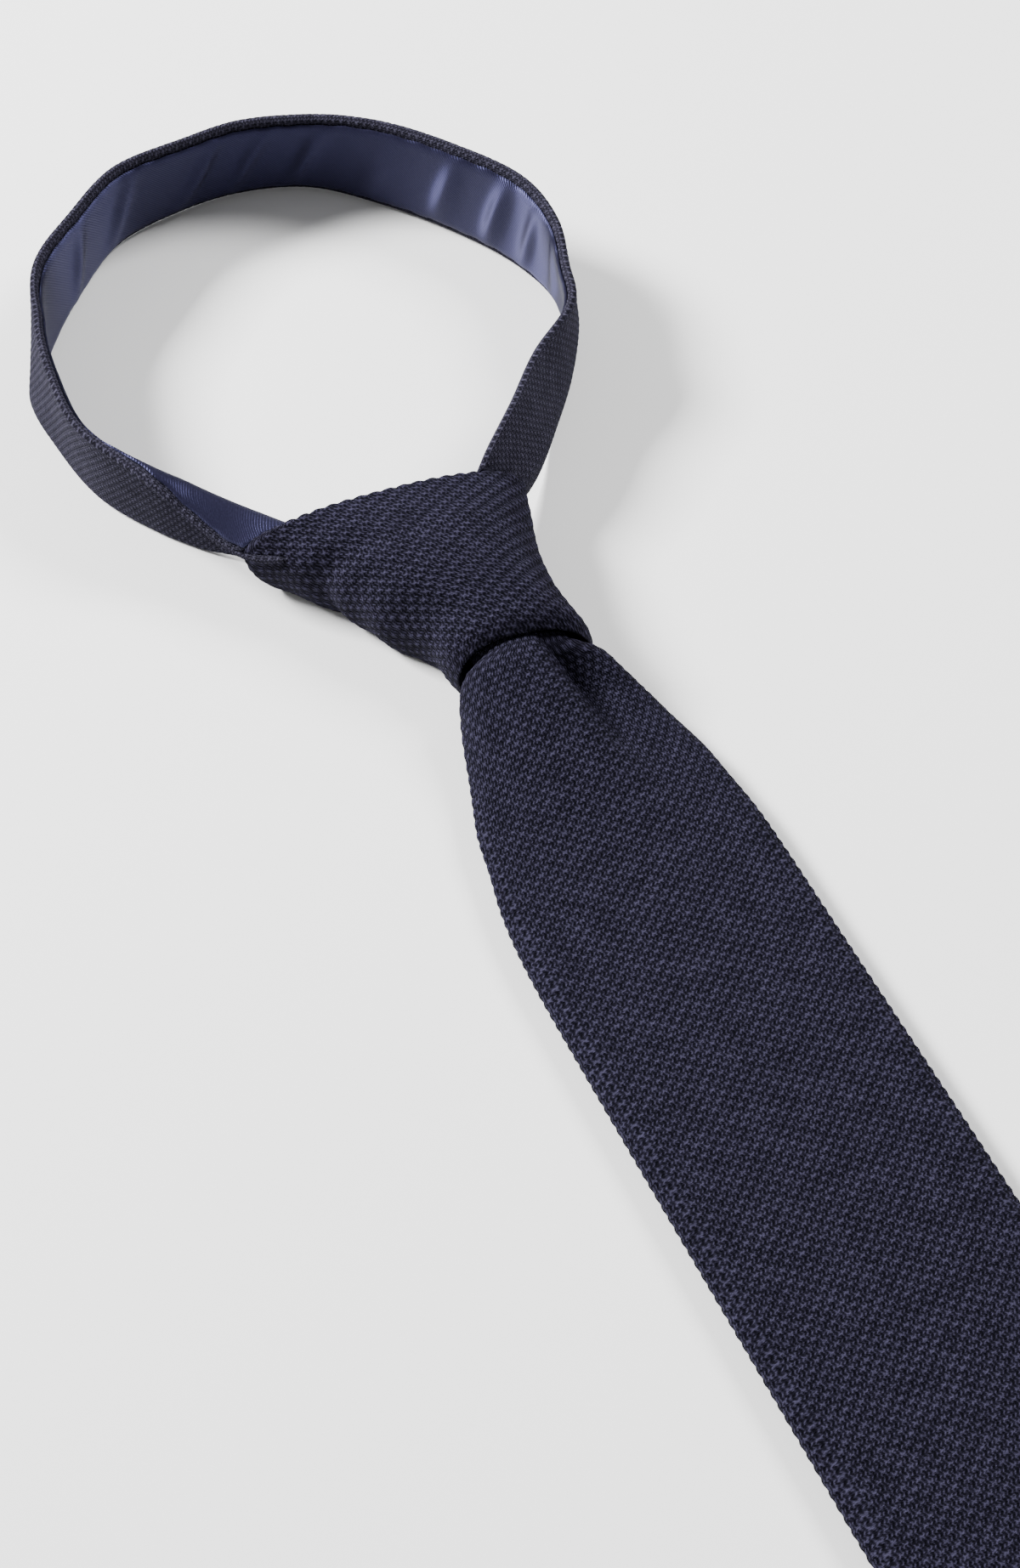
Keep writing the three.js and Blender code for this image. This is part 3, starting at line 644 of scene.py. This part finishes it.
def knot_rings(along, inset, count):
    """Rings round the knot, each from the middle of its underside, drawn in by an inset."""
    along = np.asarray(along, float)[:, None]
    inset = np.broadcast_to(np.asarray(inset, float), along.shape[:1])[:, None]
    left = knot_value("left", along) * KNOT_WIDTH + inset
    right = knot_value("right", along) * KNOT_WIDTH - inset
    top = knot_value("height", along) * KNOT_HEIGHT - inset
    waist = mix(inset, top, knot_value("waist", along))
    middle, half = (left + right) / 2, (right - left) / 2
    angle = -np.pi / 2 + 2 * np.pi * np.arange(count) / count
    c, s = np.cos(angle)[None, :], np.sin(angle)[None, :]
    x = middle + half * np.sign(c) * np.abs(c) ** KNOT_BOXINESS
    z = np.where(s > 0, mix(waist, top, s), np.maximum(inset, mix(waist, inset, -s * KNOT_FLAT)))
    y = mix(MOUTH_Y, TOP_Y, along) + knot_slant(along) * (x - middle)
    return np.stack([x, y, z], axis=-1)


def ring_places(rings):
    """Distance round each ring at each of its points, with one column more for the seam."""
    closed = np.concatenate([rings, rings[:, :1]], axis=1)
    steps = np.linalg.norm(np.diff(closed, axis=1), axis=-1)
    return np.concatenate([np.zeros((len(rings), 1)), np.cumsum(steps, axis=1)], axis=1)


def knot_stitches(rings, along):
    """Stitch places on the knot, where the rows of stitches run round it at a slope."""
    around = ring_places(rings)
    down = along[:, None] * KNOT_LENGTH + 0 * around
    around = around - around[:, -1:] / 2
    courses = (down * np.cos(ROW_SLOPE) - around * np.sin(ROW_SLOPE)) / COURSE
    wales = -around / (KNOT_STRETCH * WALE)
    return wales, courses


def even_rings(rings, count):
    """The same rings with evenly spaced points."""
    around = ring_places(rings)
    closed = np.concatenate([rings, rings[:, :1]], axis=1)
    made = np.empty((len(rings), count, 3))
    for i in range(len(rings)):
        at = np.linspace(0, around[i, -1], count, endpoint=False)
        for k in range(3):
            made[i, :, k] = np.interp(at, around[i], closed[i, :, k])
    return made


def knot_wrap(material):
    count = WRAP_ROUND
    along = np.linspace(0, 1, WRAP_ROWS)
    smooth_outer = even_rings(knot_rings(along, 0, RING_POINTS), count)
    inner_along = np.linspace(1, 0, WRAP_INNER_ROWS)
    wales, courses = knot_stitches(smooth_outer, along)
    to_mouth = along[:, None] * KNOT_LENGTH
    to_top = (1 - along[:, None]) * KNOT_LENGTH
    sunk = 1 - stitch_height(wales[:, :-1], courses[:, :-1])
    plain = smoothstep(to_mouth / PLAIN_HEM) * smoothstep(to_top / PLAIN_RIM)
    around = ring_places(smooth_outer)[:, :-1]
    bumps = 1 - scallop(around / (2 * WALE))
    near_top = 1 - smoothstep(to_top / SELVEDGE_WIDTH)
    edge = np.minimum(to_mouth, to_top)
    depth = RELIEF * sunk * plain + KNOT_SELVEDGE * bumps * near_top
    normals = grid_normals(smooth_outer)
    outward = smooth_outer - smooth_outer.mean(axis=1, keepdims=True)
    normals *= np.sign(np.einsum("ijk,ijk->ij", normals, outward))[..., None]
    thinning = np.clip(1 - to_mouth / HEM_TAPER, 0, 1) ** HEM_CURVE
    hem = (KNIT - HEM_LIP) * thinning * mix(HEM_SIDES, 1, np.clip(normals[..., 2], 0, 1))
    rim = KNIT / 2 * (1 - edge_round(to_top, KNIT / 2))
    depth = depth * edge_round(edge, KNIT / 4) + hem + rim
    outer = smooth_outer - normals * depth[..., None]
    outer[..., 1] -= KNOT_SELVEDGE * bumps * near_top
    inner_edge = (1 - inner_along) * KNOT_LENGTH
    wall = KNIT * mix(0.5, 1, edge_round(inner_edge, KNIT / 2))
    inner = even_rings(knot_rings(inner_along, wall, RING_POINTS), count)
    rings = np.concatenate([outer, inner[1:-1]])
    turned = np.concatenate([along, 2 - inner_along[1:-1]])
    piece = sleeve_mesh("knit_wrap", rings, *knot_stitches(rings, turned))
    finish_piece(piece, "knot_wrap", material)
    return piece


def sleeve_mesh(name, rings, across, along):
    """Closed mesh of a sleeve, whose rings run up its outside and down its inside."""
    rows, columns = rings.shape[:2]
    index = np.arange(rows * columns).reshape(rows, columns)
    unwrapped = np.arange(rows * (columns + 1)).reshape(rows, columns + 1)
    beside = np.roll(index, -1, axis=1)
    below = np.roll(index, -1, axis=0)
    corner = np.roll(below, -1, axis=1)
    quads = np.stack([index, beside, corner, below], axis=-1).reshape(-1, 4)
    under = np.roll(unwrapped, -1, axis=0)
    corners = np.stack([unwrapped[:, :-1], unwrapped[:, 1:], under[:, 1:], under[:, :-1]],
                       axis=-1).reshape(-1)
    places = np.stack([across, along], axis=-1).reshape(-1, 2)
    return link_mesh(name, rings, quads.tolist(), places[corners])


def knot_core(material):
    count = CORE_ROUND
    inset = KNIT + GAP
    along = np.linspace(CORE_START / KNOT_LENGTH, 1, CORE_ROWS)
    rings = even_rings(knot_rings(along, inset, RING_POINTS), count)
    face = rings[-1]
    centre = (face.min(axis=0) + face.max(axis=0)) / 2
    share = np.linspace(0, 1, HUMP_STEPS)
    places = np.linspace(0, 1, len(HUMP_ROWS))
    out, wide, tall = (lookup(HUMP_ROWS, places, HUMP_ROWS[:, HUMP_COLUMNS.index(column)], share)
                       for column in ("out", "wide", "tall"))
    hump = np.empty((len(share), count, 3))
    hump[..., 0] = mix(centre[0], face[None, :, 0], wide[:, None])
    hump[..., 1] = mix(centre[1], face[None, :, 1], wide[:, None]) + out[:, None] * CORE_HUMP
    hump[..., 2] = mix(inset, face[None, :, 2], tall[:, None])
    rings = np.concatenate([rings, hump])
    lengths = np.concatenate([along, 1 + out * CORE_HUMP / KNOT_LENGTH])
    piece = cloth_mesh("knit_core", rings, *knot_stitches(rings, lengths))
    finish_piece(piece, "knot_core", material)
    return piece


def keep_largest(piece):
    """Leaves only the largest connected part of a mesh."""
    body = bmesh.new()
    body.from_mesh(piece.data)
    parts = []
    left = set(body.verts)
    while left:
        part, edge = set(), {left.pop()}
        while edge:
            part |= edge
            edge = {link.other_vert(vertex) for vertex in edge for link in vertex.link_edges} - part
        left -= part
        parts.append(part)
    largest = max(parts, key=len)
    loose = [vertex for vertex in body.verts if vertex not in largest]
    bmesh.ops.delete(body, geom=loose, context="VERTS")
    body.to_mesh(piece.data)
    body.free()


def cut_by_knot(piece):
    """Takes away the part of a piece that lies in the room of the knot."""
    along = np.linspace(0, 1, ROOM_ROWS)
    rings = knot_rings(along, -GAP, ROOM_ROUND)
    last = rings[-1:].copy()
    last[..., 1] += GAP
    rings = np.concatenate([rings, last])
    zeros = np.zeros((len(rings), rings.shape[1] + 1))
    room = cloth_mesh("knot_room", rings, zeros, zeros)
    cut = piece.modifiers.new("cut", "BOOLEAN")
    cut.operation = "DIFFERENCE"
    cut.solver = "MANIFOLD"
    cut.object = room
    graph = bpy.context.evaluated_depsgraph_get()
    made = bpy.data.meshes.new_from_object(piece.evaluated_get(graph))
    piece.modifiers.clear()
    piece.data = made
    bpy.data.objects.remove(room)
    keep_largest(piece)


# Blades
GATHER_PLACES = GATHER_ROWS[:, 0]


def gather_value(column, along):
    return lookup(GATHER_ROWS, GATHER_PLACES, GATHER_ROWS[:, GATHER_COLUMNS.index(column)], along)


def mouth():
    """Inside of the knot's mouth, less the clearance: its middle, half width, floor and height."""
    ring = knot_rings([0.0], KNIT + GAP, RING_POINTS)[0]
    low, high = ring.min(axis=0), ring.max(axis=0)
    return (low[0] + high[0]) / 2, (high[0] - low[0]) / 2, low[2], high[2] - low[2]


def blade_rest(distance):
    """Height of the front blade's middle surface where it lies flat."""
    on_tail = KNIT + GAP + KNIT / 2
    return mix(on_tail, KNIT / 2, smoothstep((distance - TAIL_LENGTH - KNIT) / END_DROP))


def blade_point(distance, u):
    """Middle surface of the front blade. u runs across the blade from -1 to 1."""
    middle, half, _, height = mouth()
    along = distance / GATHER_LENGTH
    spread, drift, crown, rounding, dimple, dimple_at = (
        gather_value(column, along) for column in GATHER_COLUMNS[1:])
    half_width = mix(half * MOUTH_FIT - KNIT / 2, BLADE_WIDTH / 2, spread)
    bent = mix(u, np.sin(u * np.pi / 2), crown)
    arch = np.maximum(0, np.cos(u * np.pi / 2)) ** rounding
    offset = u - dimple_at
    reach = np.where(offset < 0, DIMPLE_LEFT, DIMPLE_RIGHT)
    dip = dimple * np.exp(-((offset / reach) ** 2))
    inside = (1 - np.abs(u)) * BLADE_WIDTH / 2
    droop = (EDGE_DROOP * smoothstep(1 - inside / DROOP_WIDTH) * (1 - crown)
             * smoothstep((TAIL_LENGTH - distance) / END_DROP))
    slant = np.where(distance < 0, knot_slant(-distance / KNOT_LENGTH),
                     MOUTH_SLANT * (1 - smoothstep(along / SLANT_FADE)))
    x = middle * drift + half_width * bent
    y = MOUTH_Y - distance + slant * (x - middle)
    z = blade_rest(distance) + (height - KNIT) * (crown * arch - dip) - droop
    return np.stack([x, y, z], axis=-1)


def tail_point(distance, u):
    """Middle surface of the tail, which lies under the front blade."""
    middle, half, base, _ = mouth()
    along = distance / GATHER_LENGTH
    narrow = half * MOUTH_FIT - 1.5 * KNIT - 2 * GAP
    spread = smoothstep(along)
    half_width = mix(narrow, TAIL_WIDTH / 2, spread)
    rest = mix(base + KNIT / 2, KNIT / 2, smoothstep(distance / TAIL_DROP))
    slant = np.where(distance < 0, knot_slant(-distance / KNOT_LENGTH),
                     MOUTH_SLANT * (1 - spread))
    x = middle * gather_value("drift", along) + half_width * u
    y = MOUTH_Y - distance + slant * half_width * u
    return np.stack([x, y, rest], axis=-1)


def blade_mesh(name, point, width, length, front_count, back_count, relief):
    """Mesh of a blade, from inside the knot to its square end."""
    distances = np.append(np.arange(-BLADE_TUCK, length, COURSE / 2), length)
    wales = width / WALE
    front_u = np.linspace(-1, 1, front_count)
    back_u = np.linspace(1, -1, back_count + 2)[1:-1]

    def face(places, side, depth):
        grid, across = np.meshgrid(distances, places, indexing="ij")
        step = 0.01
        down = point(grid + step, across) - point(grid - step, across)
        right = point(grid, across + step) - point(grid, across - step)
        normals = np.cross(right, down)
        normals /= np.linalg.norm(normals, axis=-1, keepdims=True)
        normals *= np.sign(normals[..., 2:])
        right /= np.linalg.norm(right, axis=-1, keepdims=True)
        edge = (1 - np.abs(across)) * width / 2
        end = np.minimum(length - grid, grid + BLADE_TUCK)
        near = 1 - smoothstep(edge / SELVEDGE_WIDTH)
        bumps = 1 - scallop(grid / (2 * COURSE))
        sunk = 1 - stitch_height((across + 1) / 2 * wales, grid / COURSE)
        thick = np.minimum(edge_round(edge, KNIT / 2), edge_round(end + END_OPENING, KNIT / 2))
        sink = depth * (RELIEF * sunk * (1 - near) + SELVEDGE * bumps * near)
        half = (KNIT / 2 - sink) * thick
        inward = -np.sign(across) * SELVEDGE * bumps * near
        return (point(grid, across) + side * normals * half[..., None]
                + right * inward[..., None])

    rings = np.concatenate([face(front_u, 1, relief), face(back_u, -1, 0)], axis=1)
    turned = np.concatenate([(front_u + 1) / 2, 1 + (1 - back_u) / 2, [2]]) * wales
    return cloth_mesh(name, rings, *np.broadcast_arrays(
        turned[None, :], distances[:, None] / COURSE))


def front_blade(material):
    piece = blade_mesh("knit_front_blade", blade_point, BLADE_WIDTH, BLADE_LENGTH,
                       BLADE_FRONT, BLADE_BACK, 1)
    finish_piece(piece, "front_blade", material)
    return piece


def tail_blade(material):
    piece = blade_mesh("knit_tail_blade", tail_point, TAIL_WIDTH, TAIL_LENGTH,
                       TAIL_COLUMNS, TAIL_COLUMNS, 0)
    finish_piece(piece, "tail_blade", material)
    return piece


# Surroundings
def floor(material):
    mesh = bpy.data.meshes.new("floor")
    half = FLOOR_HALF
    mesh.from_pydata([(-half, -half, 0), (half, -half, 0), (half, half, 0), (-half, half, 0)],
                     [], [(0, 1, 2, 3)])
    piece = bpy.data.objects.new("floor", mesh)
    piece.location.z = -FLOOR_DROP
    mesh.materials.append(material)
    bpy.context.scene.collection.objects.link(piece)
    return piece


def soft_light(name, at, size, power):
    """Square softbox that faces the tie."""
    data = bpy.data.lights.new(name, "AREA")
    data.shape = "SQUARE"
    data.size = size
    data.energy = power
    light = bpy.data.objects.new(name, data)
    light.location = at
    light.rotation_mode = "QUATERNION"
    light.rotation_quaternion = (Vector(at) - Vector(LIGHTS_FACE)).to_track_quat("Z", "Y")
    bpy.context.scene.collection.objects.link(light)


def surroundings():
    world = bpy.data.worlds.new("studio")
    world.use_nodes = True
    world.node_tree.nodes["Background"].inputs["Color"].default_value = (1, 1, 1, 1)
    world.node_tree.nodes["Background"].inputs["Strength"].default_value = WORLD_LIGHT
    bpy.context.scene.world = world
    for light in SOFT_LIGHTS:
        soft_light(*light)
    floor(floor_material())


def photo_camera():
    data = bpy.data.cameras.new("camera")
    data.lens = CAMERA_LENS
    data.sensor_width = CAMERA_SENSOR
    camera = bpy.data.objects.new("camera", data)
    azimuth, elevation = np.radians(CAMERA_AZIMUTH), np.radians(CAMERA_ELEVATION)
    back = Vector((np.sin(azimuth) * np.cos(elevation), -np.cos(azimuth) * np.cos(elevation),
                   np.sin(elevation)))
    camera.location = Vector(CAMERA_AT) * MM
    camera.rotation_mode = "QUATERNION"
    camera.rotation_quaternion = back.to_track_quat("Z", "Y")
    bpy.context.scene.collection.objects.link(camera)
    bpy.context.scene.camera = camera


knit = knit_material("navy_knit", KNIT_TONES_HOLE_SHADED)
satin = satin_material()
# The band gets the lighter copy of the knit's colours: painted light.
neck_band(knit_material("band_knit_painted_lighter", BAND_TONES_PAINTED_LIGHTER))
band_lining(satin)
knot_wrap(knit)
knot_core(knit)
front_blade(knit)
tail_blade(knit)
surroundings()
photo_camera()
